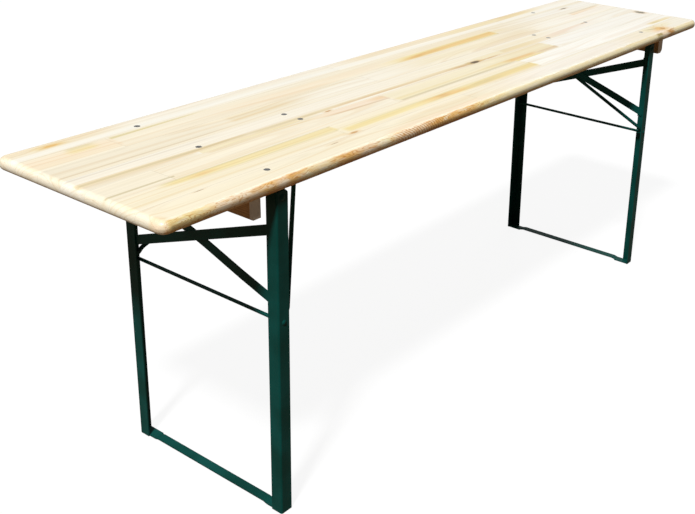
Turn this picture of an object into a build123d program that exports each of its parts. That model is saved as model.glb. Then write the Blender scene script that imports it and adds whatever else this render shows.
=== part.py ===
from build123d import *
import math
import os

# Folding trestle table: a glued board top with two folding steel leg frames.
# Millimetres. X runs along the table, Y across it, +Z up; the origin is on the
# floor under the middle of the top. Every fitting is worked out for the right
# (+X) end and mirrored for the left end.

# Top
table_length = 2200.0
table_width = 500.0
table_height = 780.0
top_thickness = 28.0
corner_radius = 22.0
edge_flat = 1.0               # upright band between the half rounds of the edge
stave_count = 7

# Fits
running_clearance = 0.05      # radial, a pin turning in its bore
seat_clearance = 0.02         # radial, a pin or screw fixed in its hole
side_gap = 0.4                # between faces that slide past each other

# Cross battens
batten_inset = 216.0          # end of the table to the batten's outer face
batten_width = 28.0
batten_depth = 44.0
batten_end_inset = 17.0       # long edge of the table to the batten's end
batten_bevel = 8.0            # off the outer lower edge

# Plate bolts through the top
bolt_diameter = 6.0
bolt_head_diameter = 14.0
bolt_head_height = 4.0
bolt_hole_clearance = 0.3
bolt_projection = 1.5         # past the nut
bolt_pilot_depth = 1.0        # of the bolt holes past the top, through the plates
nut_across_flats = 10.0
nut_height = 5.0

# Leg frames
frame_inset = 282.0           # end of the table to the frame's outer face, under the top
frame_side_inset = 12.5       # long edge of the table to the leg's outer side
splay_angle = 0.7             # degrees, feet outwards
angle_flange = 30.0
angle_wall = 3.0
angle_bend_radius = 4.0
leg_top_gap = 4.0             # top of the leg's front flange to the underside

# Leg hinge: a strap with turned-down lugs and a rivet at each end
hinge_depth = 18.0            # axis below the underside
hinge_pin_diameter = 8.0
hinge_head_diameter = 14.0
rivet_head_height = 2.6
leg_end_radius = 17.0         # round end of the leg's side flange, about the axis
strap_width = 22.0
strap_thickness = 3.0
strap_bend_radius = 4.0
lug_radius = 10.5
strap_bolt_offset = 3.0       # bolt row from the strap's middle, towards the table's middle
strap_bolt_inset = 55.0       # long edge of the table to the outer bolts

# Cross braces, flat bars welded to the front flanges. One falls from the front
# leg to the back leg and the other rises; their ends are given by the depth of
# the bar's middle below the underside, and differ between the two frames.
brace_width = 22.0
brace_thickness = 2.5
brace_lap = 16.0              # length welded on the flange
brace_bow_length = 110.0      # over which the rising bar bends out over the other
brace_bow_margin = 3.0        # raised part past the other bar's edges
left_fall_front = 85.0
left_fall_back = 242.0
left_rise_front = 243.0
left_rise_back = 96.0
right_fall_front = 64.0
right_fall_back = 227.0
right_rise_front = 232.0
right_rise_back = 75.0

# Foot bar, a flat strip with a wider pressed-down foot at each end
foot_bar_width = 22.0
foot_bar_thickness = 3.0
foot_bar_rise = 3.0           # of the middle above the floor
foot_length = 46.0
foot_width = 26.0
foot_step_length = 12.0
weld_gap = 0.1                # between a welded piece and the leg's inside

# Strut: one bar bent to a V, with eyes on the pivot rod
rod_drop = 271.0              # hinge axis to the rod, along the leg
rod_diameter = 8.0
rod_head_diameter = 12.0
strut_diameter = 10.0
strut_apex_width = 30.0
strut_apex_bend = 11.0
strut_eye_diameter = 18.0
strut_eye_width = 7.0         # pressed flat on the inner side
strut_eye_flat = 12.0         # from the rod's axis
strut_eye_taper = 6.0         # flat back to round
strut_eye_proud = 0.3         # eye's faces past the bar
strut_neck = 26.0             # rod's axis to the bend of the arm
strut_neck_bend = 30.0

# Latch under the top
latch_inset = 565.0           # end of the table to the held bar
latch_bolt_offset = 5.0       # bolts from the held bar, towards the table's middle
latch_bolt_pitch = 50.0
latch_plate_width = 84.0
latch_plate_thickness = 3.0
latch_plate_reach = 43.0      # from the held bar towards the middle of the table
latch_plate_corner = 5.0
latch_hook_width = 15.0
latch_hook_lip = 3.5          # hook wall past the underside of the held bar
latch_hook_flare = 5.0        # height of the flared edge
latch_hook_flare_out = 2.0
latch_bend_radius = 4.0
catch_pin_reach = 24.0        # catch pin from the held bar
catch_pin_rise = 6.0          # catch pin above the held bar's middle
catch_pin_diameter = 5.0
catch_pin_head_diameter = 8.0
catch_pin_head_height = 1.5
catch_width = 12.0
catch_hub_radius = 4.6
catch_nose_gap = 8.5          # nose tip from the middle of the held bar
catch_nose_lift = 2.9         # underside of the nose above the held bar's middle
catch_nose_height = 5.0
catch_tab_length = 18.0
catch_tab_thickness = 2.5
catch_tab_drop = 7.0
catch_corner = 0.8
ear_thickness = 2.5
ear_radius = 5.5
leaf_width = 8.0
leaf_thickness = 0.6
leaf_root = 8.0               # length of the flat end on the plate
leaf_bend_radius = 3.0
leaf_tip_inset = 3.0          # tip of the leaf from the tip of the catch's nose

# Places worked out from the sizes above
half_length = table_length / 2
half_width = table_width / 2
underside = table_height - top_thickness
stave_width = table_width / stave_count
frame_half = half_width - frame_side_inset
hinge_x = half_length - frame_inset - angle_flange / 2
hinge_z = underside - hinge_depth
latch_x = half_length - latch_inset
front_face = angle_flange / 2                 # outer face of the frame from the hinge axis
lug_outer = frame_half - angle_wall - side_gap
splay = math.radians(splay_angle)
rod_x = hinge_x + rod_drop * math.sin(splay)
rod_z = hinge_z - rod_drop * math.cos(splay)
strut_length = math.hypot(rod_x - latch_x, hinge_z - rod_z)
arm_start = lug_outer - strut_eye_proud - strut_diameter / 2    # middle of the strut's bar at the rod
wall_face = latch_x + strut_diameter / 2 + side_gap
pin_x = latch_x - catch_pin_reach
pin_z = hinge_z + catch_pin_rise
ear_inner = catch_width / 2 + side_gap
foot_x = hinge_x + hinge_z * math.tan(splay)  # middle of the leg at the floor


def bar_y(diameter, low, high, x=0.0, z=0.0):
    """Round bar along Y."""
    bar = Cylinder(diameter / 2, high - low, rotation=(-90, 0, 0))
    return Pos(x, (low + high) / 2, z) * bar


def bar_z(diameter, low, high, x=0.0, y=0.0):
    """Round bar along Z."""
    return Pos(x, y, (low + high) / 2) * Cylinder(diameter / 2, high - low)


def block(low, high):
    """Box between two corners."""
    size = [b - a for a, b in zip(low, high)]
    middle = [(a + b) / 2 for a, b in zip(low, high)]
    return Pos(*middle) * Box(*size)


def rivet_head(diameter, height, y):
    """Low conical head on a pin along Y, standing out from the face at y."""
    cone = Cone(diameter / 2, diameter / 2 - height, height)
    return Pos(0, y + height / 2, 0) * Rot(-90, 0, 0) * cone


# ---------------------------------------------------------------- the top

def bolt_head(x, y):
    """Cone of the bolt's head, flush with the top."""
    cone = Cone(bolt_diameter / 2, bolt_head_diameter / 2, bolt_head_height)
    return Pos(x, y, table_height - bolt_head_height / 2) * cone


def plate_bolt(x, y, plate):
    """Flat-headed bolt, countersunk in the top, long enough for plate and nut."""
    end = underside - plate - nut_height - bolt_projection
    return bolt_head(x, y) + bar_z(bolt_diameter, end, table_height - bolt_head_height, x, y)


def bolt_hole(x, y, plate):
    """Hole for the bolt through the top and its plate, and the seat of its head."""
    shank = bolt_diameter + bolt_hole_clearance
    return bolt_head(x, y) + bar_z(shank, underside - plate - bolt_pilot_depth, table_height, x, y)


def nut(x, y, plate):
    """Hexagon nut under the bolt's plate."""
    bottom = underside - plate - nut_height
    across_corners = nut_across_flats / math.cos(math.pi / 6)
    body = extrude(RegularPolygon(across_corners / 2, 6), nut_height)
    hole = bar_z(bolt_diameter + 2 * seat_clearance, 0, nut_height)
    return Pos(x, y, bottom) * (body - hole)


outer_bolt_y = half_width - strap_bolt_inset
strap_bolts = [
    (hinge_x - strap_bolt_offset, y, strap_thickness) for y in (-outer_bolt_y, 0, outer_bolt_y)
]
latch_bolts = [
    (latch_x - latch_bolt_offset, y, latch_plate_thickness)
    for y in (-latch_bolt_pitch / 2, latch_bolt_pitch / 2)
]


def build_staves():
    """The glued board with a half-round edge, cut into its full-length staves."""
    outline = RectangleRounded(table_length, table_width, corner_radius)
    board = Pos(0, 0, underside) * extrude(outline, top_thickness)
    rims = board.edges().group_by(Axis.Z)
    board = fillet(rims[0] + rims[-1], (top_thickness - edge_flat) / 2)
    head_radius = bolt_head_diameter / 2
    staves = {}
    for index in range(stave_count):
        low = -half_width + index * stave_width
        high = low + stave_width
        stave = board & block((-half_length, low, underside), (half_length, high, table_height))
        for x, y, plate in strap_bolts + latch_bolts:
            if low - head_radius < y < high + head_radius:
                stave = stave - bolt_hole(x, y, plate) - bolt_hole(-x, y, plate)
        staves[f"stave_{index + 1}"] = stave
    return staves


def build_batten():
    """Wooden cross batten with its outer lower edge bevelled."""
    outer = half_length - batten_inset
    end = half_width - batten_end_inset
    batten = block((outer - batten_width, -end, underside - batten_depth), (outer, end, underside))
    lower_edges = batten.edges().group_by(Axis.Z)[0].filter_by(Axis.Y)
    return chamfer(lower_edges.sort_by(Axis.X)[-1], batten_bevel)


# ---------------------------------------------------------------- leg hinge

def build_hinge_strap():
    """Flat strap across the top with a lug turned down at each end."""
    lug_end = hinge_z - lug_radius
    profile = Polyline(
        (-lug_outer, lug_end), (-lug_outer, underside), (lug_outer, underside), (lug_outer, lug_end),
        (lug_outer - strap_thickness, lug_end),
        (lug_outer - strap_thickness, underside - strap_thickness),
        (-lug_outer + strap_thickness, underside - strap_thickness),
        (-lug_outer + strap_thickness, lug_end),
        close=True,
    )
    face = make_face(profile)
    corners = face.vertices().group_by(Axis.Y)
    face = fillet(corners[-1], strap_bend_radius)
    inner = [v for v in face.vertices() if abs(v.Y - underside + strap_thickness) < 0.01]
    face = fillet(inner, strap_bend_radius - strap_thickness)
    strap = Pos(hinge_x, 0, 0) * (Plane.YZ * extrude(face, strap_width / 2, both=True))
    flat = block(
        (hinge_x - strap_width / 2, -lug_outer, hinge_z),
        (hinge_x + strap_width / 2, lug_outer, underside),
    )
    strap = strap & (flat + bar_y(2 * lug_radius, -lug_outer, lug_outer, hinge_x, hinge_z))
    pin_hole = bar_y(hinge_pin_diameter + 2 * seat_clearance, -lug_outer, lug_outer, hinge_x, hinge_z)
    strap = strap - pin_hole
    for place in strap_bolts:
        strap = strap - bolt_hole(*place)
    return strap


def build_hinge_rivets():
    """A rivet fixed in each lug, flush inside; the leg turns on it under the head."""
    high = frame_half + side_gap
    rivet = bar_y(hinge_pin_diameter, lug_outer - strap_thickness, high)
    rivet += rivet_head(hinge_head_diameter, rivet_head_height, high)
    rivet = Pos(hinge_x, 0, hinge_z) * rivet
    return [rivet, mirror(rivet, about=Plane.XZ)]


# ---------------------------------------------------------------- leg frame

def on_hinge(shape):
    """Turn a frame piece, drawn upright about the hinge axis, to its splay."""
    return Pos(hinge_x, 0, hinge_z) * Rot(0, -splay_angle, 0) * shape


def build_leg():
    """Leg at the +Y side: a bent angle, its side flange rounded about the hinge."""
    profile = Polyline(
        (front_face, frame_half), (front_face - angle_flange, frame_half),
        (front_face - angle_flange, frame_half - angle_wall),
        (front_face - angle_wall, frame_half - angle_wall),
        (front_face - angle_wall, frame_half - angle_flange),
        (front_face, frame_half - angle_flange),
        close=True,
    )
    face = make_face(profile)
    bend_outside = face.vertices().sort_by(Axis((0, 0, 0), (1, 1, 0)))[-1]
    face = fillet(bend_outside, angle_bend_radius)
    inside = [v for v in face.vertices()
              if abs(v.X - front_face + angle_wall) < 0.01 and abs(v.Y - frame_half + angle_wall) < 0.01]
    face = fillet(inside, angle_bend_radius - angle_wall)
    top = hinge_depth - leg_top_gap
    length = hinge_z + top + angle_flange
    leg = Pos(0, 0, top - length) * extrude(face, length)
    keep = block((-front_face, 0, top - length), (front_face, frame_half, 0))
    keep += block((front_face - angle_wall, 0, 0), (front_face, frame_half, top))
    keep += bar_y(2 * leg_end_radius, 0, frame_half)
    leg = leg & keep
    pin = hinge_pin_diameter + 2 * running_clearance
    leg = leg - bar_y(pin, frame_half - angle_wall, frame_half)
    rod = rod_diameter + 2 * seat_clearance
    leg = leg - bar_y(rod, frame_half - angle_wall, frame_half, 0, -rod_drop)
    leg = on_hinge(leg)
    margin = 2 * angle_flange
    return leg - block((foot_x - margin, 0, -margin), (foot_x + margin, frame_half + margin, 0))


def build_brace(front_drop, back_drop, crossing=0.0, overlap=0.0):
    """Flat bar between its welds on the two legs, each at its depth below the underside.

    With an overlap it bows out by its own thickness, to pass over a bar that it
    meets at the crossing, measured along it from its middle.
    """
    reach = frame_half - angle_flange + brace_lap
    slope = math.atan2(front_drop - back_drop, 2 * reach)
    half = reach / math.cos(slope)
    face = front_face - angle_wall
    edge = [(face, -half), (face, half)]
    if overlap:
        raised = face - brace_thickness
        foot = overlap + brace_bow_length
        edge[1:1] = [
            (face, crossing - foot), (raised, crossing - overlap),
            (raised, crossing + overlap), (face, crossing + foot),
        ]
    inner = [(x - brace_thickness, y) for x, y in reversed(edge)]
    bar = extrude(make_face(Polyline(*edge, *inner, close=True)), brace_width / 2, both=True)
    middle = hinge_depth - (front_drop + back_drop) / 2
    return on_hinge(Pos(0, 0, middle) * Rot(math.degrees(slope), 0, 0) * bar)


def build_braces(fall_front, fall_back, rise_front, rise_back):
    """The straight falling bar and the bowed rising bar of one frame."""
    reach = frame_half - angle_flange + brace_lap
    fall = fall_back - fall_front
    rise = rise_front - rise_back
    crossing_y = reach * (2 * (rise_front - fall_front) / (fall + rise) - 1)
    rise_slope = math.atan2(rise, 2 * reach)
    angle = math.atan2(fall, 2 * reach) + rise_slope
    overlap = brace_width / 2 / math.tan(angle / 2) + brace_bow_margin
    straight = build_brace(fall_front, fall_back)
    bowed = build_brace(rise_front, rise_back, crossing_y / math.cos(rise_slope), overlap)
    return straight, bowed


def build_foot_bar():
    """Strip between the legs, raised off the floor, with a pressed foot at each end."""
    end = frame_half - angle_wall - weld_gap
    foot_end = end - foot_length
    middle = foot_end - foot_step_length
    top = foot_bar_thickness
    rise = foot_bar_rise
    outer = foot_x + front_face - angle_wall - weld_gap
    profile = Polyline(
        (-end, 0), (-foot_end, 0), (-middle, rise), (middle, rise), (foot_end, 0), (end, 0),
        (end, top), (foot_end, top), (middle, top + rise),
        (-middle, top + rise), (-foot_end, top), (-end, top),
        close=True,
    )
    strip = extrude(make_face(profile), -foot_bar_width)
    strip = Pos(outer, 0, 0) * (Plane.YZ * strip)
    for sign in (1, -1):
        low, high = sorted((sign * foot_end, sign * end))
        strip += block((outer - foot_width, low, 0), (outer, high, top))
    corners = [e for e in strip.edges().filter_by(Axis.Z) if abs(e.center().Y) > end - weld_gap]
    return fillet(corners, angle_bend_radius - angle_wall)


def build_pivot_rod():
    """Rod through both side flanges, riveted over outside them; the strut turns on it."""
    head = rivet_head(rod_head_diameter, rivet_head_height, frame_half)
    rod = bar_y(rod_diameter, -frame_half, frame_half) + head + mirror(head, about=Plane.XZ)
    return on_hinge(Pos(0, 0, -rod_drop) * rod)


# ---------------------------------------------------------------- strut

def build_strut():
    """One round bar bent to a V. Its short apex bar is held by the latch.

    Each end is pressed flat on its inner side to an eye that turns on the rod.
    """
    along = Vector(latch_x - rod_x, 0, hinge_z - rod_z).normalized()
    plane = Plane(origin=(rod_x, 0, rod_z), x_dir=along, z_dir=along.cross(Vector(0, 1, 0)))
    half_apex = strut_apex_width / 2
    line = FilletPolyline(
        (0, arm_start), (strut_neck, arm_start), (strut_length, half_apex),
        (strut_length, -half_apex), (strut_neck, -arm_start), (0, -arm_start),
        radius=[strut_neck_bend, strut_apex_bend, strut_apex_bend, strut_neck_bend],
    )
    path = plane * line
    strut = sweep(Plane(origin=path @ 0, z_dir=path % 0) * Circle(strut_diameter / 2), path=path)
    eye_inner = lug_outer - strut_eye_width
    flat = eye_inner + strut_eye_proud
    clear = arm_start - strut_diameter
    taper_end = strut_eye_flat + strut_eye_taper
    pressed = make_face(Polyline(
        (-strut_eye_diameter, flat), (strut_eye_flat, flat),
        (taper_end, arm_start - strut_diameter / 2), (taper_end, clear), (-strut_eye_diameter, clear),
        close=True,
    ))
    pressed = plane * extrude(pressed, strut_diameter, both=True)
    strut = strut - pressed - mirror(pressed, about=Plane.XZ)
    eye = bar_y(strut_eye_diameter, eye_inner, lug_outer, rod_x, rod_z)
    strut = strut + eye + mirror(eye, about=Plane.XZ)
    return strut - bar_y(rod_diameter + 2 * running_clearance, -lug_outer, lug_outer, rod_x, rod_z)


# ---------------------------------------------------------------- latch

def build_latch_plate():
    """Pressed plate under the top: a hook wall for the held bar, two ears for the catch."""
    sheet = latch_plate_thickness
    heel = wall_face + sheet
    bottom = hinge_z - strut_diameter / 2 - latch_hook_lip
    flare = bottom + latch_hook_flare
    hook = make_face(Polyline(
        (latch_x, underside - sheet), (wall_face, underside - sheet), (wall_face, flare),
        (wall_face + latch_hook_flare_out, bottom), (heel + latch_hook_flare_out, bottom),
        (heel, flare), (heel, underside), (latch_x, underside),
        close=True,
    ))
    bend = hook.vertices().filter_by(lambda v: v.X == heel and v.Y == underside)
    hook = fillet(bend, latch_bend_radius)
    hook = Plane.XZ * extrude(hook, latch_hook_width / 2, both=True)
    plate = block(
        (latch_x - latch_plate_reach, -latch_plate_width / 2, underside - sheet),
        (heel - latch_bend_radius, latch_plate_width / 2, underside),
    )
    plate = fillet(plate.edges().filter_by(Axis.Z), latch_plate_corner) + hook
    ear = Pos(pin_x, pin_z) * Circle(ear_radius)
    ear += Pos(pin_x, (pin_z + underside) / 2) * Rectangle(2 * ear_radius, underside - pin_z)
    ear = Pos(0, ear_inner + ear_thickness, 0) * (Plane.XZ * extrude(ear, ear_thickness))
    plate = plate + ear + mirror(ear, about=Plane.XZ)
    hole = catch_pin_diameter + 2 * seat_clearance
    plate = plate - bar_y(hole, -latch_plate_width / 2, latch_plate_width / 2, pin_x, pin_z)
    for place in latch_bolts:
        plate = plate - bolt_hole(*place)
    return plate


def build_catch_lever():
    """Lever on the catch pin: a nose before the held bar and a tab to press."""
    nose_x = latch_x - catch_nose_gap
    nose_low = hinge_z + catch_nose_lift
    tab_x = pin_x - catch_hub_radius - catch_tab_length
    tab_low = pin_z - catch_tab_drop - catch_tab_thickness
    outline = make_face(Polyline(
        (nose_x, nose_low), (nose_x, nose_low + catch_nose_height),
        (pin_x, pin_z + catch_hub_radius), (pin_x - catch_hub_radius, pin_z),
        (tab_x, tab_low + catch_tab_thickness), (tab_x, tab_low), (pin_x, pin_z - catch_hub_radius),
        close=True,
    ))
    ends = outline.vertices().group_by(Axis.X)
    outline = fillet(ends[0] + ends[-1], catch_corner)
    lever = Plane.XZ * extrude(outline, catch_width / 2, both=True)
    lever += bar_y(2 * catch_hub_radius, -catch_width / 2, catch_width / 2, pin_x, pin_z)
    bore = catch_pin_diameter + 2 * running_clearance
    return lever - bar_y(bore, -catch_width / 2, catch_width / 2, pin_x, pin_z)


def build_catch_pin():
    """Pin through the ears and the lever, with a head at its back end."""
    end = ear_inner + ear_thickness
    pin = bar_y(catch_pin_diameter, -end, end)
    pin += rivet_head(catch_pin_head_diameter, catch_pin_head_height, end)
    return Pos(pin_x, 0, pin_z) * pin


def build_catch_spring():
    """Leaf spring under the plate, bent down onto the catch's nose."""
    plate_face = underside - latch_plate_thickness
    nose_x = latch_x - catch_nose_gap
    nose_top = hinge_z + catch_nose_lift + catch_nose_height
    fall = (pin_z + catch_hub_radius - nose_top) / (nose_x - pin_x)
    tip_x = nose_x - leaf_tip_inset
    tip_z = nose_top + fall * leaf_tip_inset + side_gap
    root_x = latch_x - latch_plate_reach
    fold_x = root_x + leaf_root
    outline = make_face(Polyline(
        (root_x, plate_face), (fold_x, plate_face), (tip_x, tip_z + leaf_thickness), (tip_x, tip_z),
        (fold_x, plate_face - leaf_thickness), (root_x, plate_face - leaf_thickness),
        close=True,
    ))
    folds = outline.vertices().filter_by(lambda v: abs(v.X - fold_x) < leaf_thickness)
    outline = fillet(folds, leaf_bend_radius)
    return Plane.XZ * extrude(outline, leaf_width / 2, both=True)


# ---------------------------------------------------------------- output

os.makedirs("parts", exist_ok=True)


def save(name, shapes):
    """Write one node, made of one or more solids."""
    solids = []
    for shape in shapes if isinstance(shapes, list) else [shapes]:
        solids += shape.solids()
    export_step(solids[0] if len(solids) == 1 else Compound(children=solids), f"parts/{name}.step")


def save_pair(name, shapes):
    """Write a piece at the right end and its mirror image at the left end."""
    shapes = shapes if isinstance(shapes, list) else [shapes]
    save(f"{name}_right", shapes)
    save(f"{name}_left", [mirror(shape, about=Plane.YZ) for shape in shapes])


for stave_name, stave in build_staves().items():
    save(stave_name, stave)

save_pair("batten", build_batten())
save_pair("top_bolts", [plate_bolt(*place) for place in strap_bolts + latch_bolts])
save_pair("top_nuts", [nut(*place) for place in strap_bolts + latch_bolts])
save_pair("hinge_strap", build_hinge_strap())
save_pair("hinge_rivets", build_hinge_rivets())

back_leg = build_leg()
save_pair("leg_back", back_leg)
save_pair("leg_front", mirror(back_leg, about=Plane.XZ))
save_pair("foot_bar", build_foot_bar())
save_pair("pivot_rod", build_pivot_rod())
save_pair("strut", build_strut())
brace_names = ("brace_straight", "brace_stepped")
right_braces = build_braces(right_fall_front, right_fall_back, right_rise_front, right_rise_back)
left_braces = build_braces(left_fall_front, left_fall_back, left_rise_front, left_rise_back)
for name, right_brace, left_brace in zip(brace_names, right_braces, left_braces):
    save(f"{name}_right", right_brace)
    save(f"{name}_left", mirror(left_brace, about=Plane.YZ))

save_pair("latch_plate", build_latch_plate())
save_pair("catch_lever", build_catch_lever())
save_pair("catch_pin", build_catch_pin())
save_pair("catch_spring", build_catch_spring())
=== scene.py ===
import math
import bmesh
import bpy
from mathutils import Matrix, Vector


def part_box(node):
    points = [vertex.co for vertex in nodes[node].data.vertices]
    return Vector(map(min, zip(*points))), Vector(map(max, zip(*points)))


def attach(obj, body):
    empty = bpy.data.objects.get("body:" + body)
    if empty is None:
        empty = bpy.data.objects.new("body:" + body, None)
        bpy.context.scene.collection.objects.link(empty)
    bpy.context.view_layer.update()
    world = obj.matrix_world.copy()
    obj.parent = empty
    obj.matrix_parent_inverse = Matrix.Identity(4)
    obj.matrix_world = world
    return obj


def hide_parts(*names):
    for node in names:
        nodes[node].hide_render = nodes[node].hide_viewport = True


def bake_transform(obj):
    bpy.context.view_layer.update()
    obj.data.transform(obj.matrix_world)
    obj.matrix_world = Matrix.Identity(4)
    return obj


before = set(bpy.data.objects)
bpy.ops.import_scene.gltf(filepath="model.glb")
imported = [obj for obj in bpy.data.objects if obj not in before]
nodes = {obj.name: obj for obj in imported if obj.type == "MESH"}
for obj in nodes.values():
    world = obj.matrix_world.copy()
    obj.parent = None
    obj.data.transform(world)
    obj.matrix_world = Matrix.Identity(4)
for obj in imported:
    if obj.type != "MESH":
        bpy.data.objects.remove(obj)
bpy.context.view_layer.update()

# ------------------------------------------------------------------ camera
# A standing person's view of the table from its left end and front, so that the
# top runs away to the right.

camera_place = Vector((-2.1035, -1.5455, 1.4909))
camera_turn = math.radians(36.42)      # from +X towards +Y
camera_pitch = math.radians(21.86)     # downwards
camera_roll = math.radians(1.91)

look = Vector((
    math.cos(camera_pitch) * math.cos(camera_turn),
    math.cos(camera_pitch) * math.sin(camera_turn),
    -math.sin(camera_pitch),
))
level_right = look.cross(Vector((0, 0, 1))).normalized()
level_up = level_right.cross(look)
camera_right = math.cos(camera_roll) * level_right + math.sin(camera_roll) * level_up
camera_up = math.cos(camera_roll) * level_up - math.sin(camera_roll) * level_right

camera_data = bpy.data.cameras.new("camera")
camera_data.sensor_fit = "HORIZONTAL"
camera_data.sensor_width = 36.0
camera_data.lens = 53.37
camera_data.shift_x = -0.1173
camera_data.shift_y = -0.0963
camera = bpy.data.objects.new("camera", camera_data)
camera.matrix_world = (
    Matrix.Translation(camera_place)
    @ Matrix((camera_right, camera_up, -look)).transposed().to_4x4()
)
bpy.context.scene.collection.objects.link(camera)
bpy.context.scene.camera = camera
bpy.context.scene.view_settings.view_transform = "Standard"

# ------------------------------------------------------------------ studio
# A white floor and room with one main lamp, far off at the left end and a little
# to the front, so that the top shades the upper legs. Two weak broad lamps behind
# light the sides that face away, and the pale room opens the shadows.


def add(tree, kind, values=(), **settings):
    """Adds a shader node. A value that is a socket is linked, any other is set on the input."""
    made = tree.nodes.new("ShaderNode" + kind)
    for name, setting in settings.items():
        setattr(made, name, setting)
    for name, value in dict(values).items():
        if isinstance(value, bpy.types.NodeSocket):
            tree.links.new(value, made.inputs[name])
        else:
            made.inputs[name].default_value = value
    return made


def calc(tree, operation, *terms, clamp=False):
    """Adds a Math node and returns its result."""
    return add(tree, "Math", enumerate(terms), operation=operation, use_clamp=clamp).outputs[0]


def new_material(name):
    """An empty node material and its tree."""
    material = bpy.data.materials.new(name)
    material.use_nodes = True
    material.node_tree.nodes.clear()
    return material, material.node_tree


def new_object(name, mesh):
    """Links a finished mesh as an object at the origin."""
    made = bpy.data.objects.new(name, mesh)
    bpy.context.scene.collection.objects.link(made)
    return made


floor_size = 60.0
floor_bounce = (0.15, 0.11, 0.075, 1)      # a warm paper, for the light that it sends back
floor_seen = (0.10, 0.10, 0.10, 1)         # for the camera, which also sees its glow
floor_glow = 0.91
floor_mesh = bpy.data.meshes.new("floor")
floor_shape = bmesh.new()
bmesh.ops.create_grid(floor_shape, x_segments=1, y_segments=1, size=floor_size / 2)
floor_shape.to_mesh(floor_mesh)
floor_shape.free()
floor = new_object("floor", floor_mesh)

floor_paper, tree = new_material("floor paper")
seen = add(tree, "LightPath").outputs["Is Camera Ray"]
shade = add(tree, "MixRGB", {"Fac": seen, "Color1": floor_bounce, "Color2": floor_seen})
paper = add(tree, "BsdfDiffuse", {"Color": shade.outputs[0]})
glow = add(tree, "Emission", {"Color": (1, 1, 1, 1), "Strength": calc(tree, "MULTIPLY", seen, floor_glow)})
both = add(tree, "AddShader", {0: paper.outputs[0], 1: glow.outputs[0]})
add(tree, "OutputMaterial", {"Surface": both.outputs[0]})
floor.data.materials.append(floor_paper)


def soft_lamp(name, towards, distance, size, power):
    """A square area lamp, that way and that far from the middle of the table and aimed at it."""
    lamp = bpy.data.lights.new(name, "AREA")
    lamp.shape = "SQUARE"
    lamp.size = size
    lamp.energy = power
    way = Vector(towards).normalized()
    holder = bpy.data.objects.new(name, lamp)
    place = Matrix.Translation(Vector((0, 0, 0.5)) + way * distance)
    holder.matrix_world = place @ way.to_track_quat("Z", "Y").to_matrix().to_4x4()
    bpy.context.scene.collection.objects.link(holder)


soft_lamp("main lamp", (-0.545, -0.2235, 0.808), distance=60.0, size=6.0, power=43300)
soft_lamp("back lamp", (0.75, 0.30, 0.75), distance=12.0, size=5.0, power=230)
soft_lamp("low back lamp", (-0.30, 0.85, 0.35), distance=12.0, size=4.0, power=150)

room = bpy.data.worlds.new("room")
bpy.context.scene.world = room
room.use_nodes = True
tree = room.node_tree
tree.nodes.clear()
room_light = 0.055
room_shine = 0.03          # more in reflections
room_seen = 0.945          # more for the camera, which makes it white
rays = add(tree, "LightPath")
strength = calc(tree, "MULTIPLY_ADD", rays.outputs["Is Glossy Ray"], room_shine, room_light)
strength = calc(tree, "MULTIPLY_ADD", rays.outputs["Is Camera Ray"], room_seen, strength)
sky = add(tree, "Background", {"Color": (1, 1, 1, 1), "Strength": strength})
add(tree, "OutputWorld", {"Surface": sky.outputs[0]})

# ------------------------------------------------------------------ top
# Seven staves of pine, each finger-jointed end to end from shorter boards, glued
# side by side into one panel. Its long and short edges are run to a full half
# round, then the panel is varnished.

top_low, top_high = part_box("stave_1")
left_end = top_low[0]
back_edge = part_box("stave_7")[1][1]
underside = top_low[2]
nose_start = 0.2392        # across, from the middle of the table, where the half round turns down
nose_full = 0.2440
nose_waver = 0.008         # how unevenly that line runs
nose_whole = 1.088         # along, from the middle, up to where the edge's own wood is full
nose_gone = 1.093
nose_middle = (underside + top_high[2]) / 2
arch_x = left_end + 0.565  # where the arches in the front edge spread from
arch_squeeze = 2.6         # how much flatter than round they are
arch_rate = 120.0          # arches to a metre
end_grain_start = 1.0915   # along, from the middle, where the short edges turn down
end_grain_full = 1.0965
finger_half_pitch = 0.0019
finger_phase = 0.0011      # puts them evenly about the middle of the edge
finger_slope = 5.0         # length of a finger to half its pitch
finger_line = 0.0007       # width of the dark line where two boards meet
glue_line = 0.0006         # and where two staves meet
pith_spread = 0.10         # how far apart, across, the piths of a stave's boards can lie
pith_depth = 0.020         # least depth of a pith below the underside
pith_depth_spread = 0.06   # how much deeper it can lie
ring_rate = 260.0          # soft lines to a metre
fine_ring_rate = 700.0

pine = {
    "milk": (0.98, 0.96, 0.89, 1),
    "chalk": (0.97, 0.94, 0.84, 1),
    "pale": (0.96, 0.90, 0.76, 1),
    "cream": (0.93, 0.85, 0.67, 1),
    "tan": (0.86, 0.73, 0.49, 1),
    "peach": (0.93, 0.76, 0.54, 1),
    "rose": (0.92, 0.79, 0.66, 1),
    "olive": (0.76, 0.66, 0.36, 1),
    "straw": (0.91, 0.81, 0.52, 1),
    "honey": (0.88, 0.73, 0.36, 1),
    "orange": (0.84, 0.54, 0.20, 1),
    "amber": (0.60, 0.33, 0.12, 1),
    "smoke": (0.50, 0.44, 0.36, 1),
    "moss": (0.50, 0.41, 0.19, 1),
    "soot": (0.20, 0.18, 0.13, 1),
    "umber": (0.30, 0.19, 0.09, 1),
    "bark": (0.09, 0.055, 0.025, 1),
}


def mixed(tree, factor, first, second, blend="MIX"):
    """Mixes two colours."""
    values = {"Fac": factor, "Color1": first, "Color2": second}
    return add(tree, "MixRGB", values, blend_type=blend).outputs[0]


def grey(tree, value):
    """A grey of that value."""
    return add(tree, "CombineColor", {0: value, 1: value, 2: value}).outputs[0]


def smooth(tree, value, low, high):
    """Smooth step from 0 at low to 1 at high."""
    values = {"Value": value, "From Min": low, "From Max": high}
    return add(tree, "MapRange", values, interpolation_type="SMOOTHSTEP").outputs["Result"]


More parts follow.
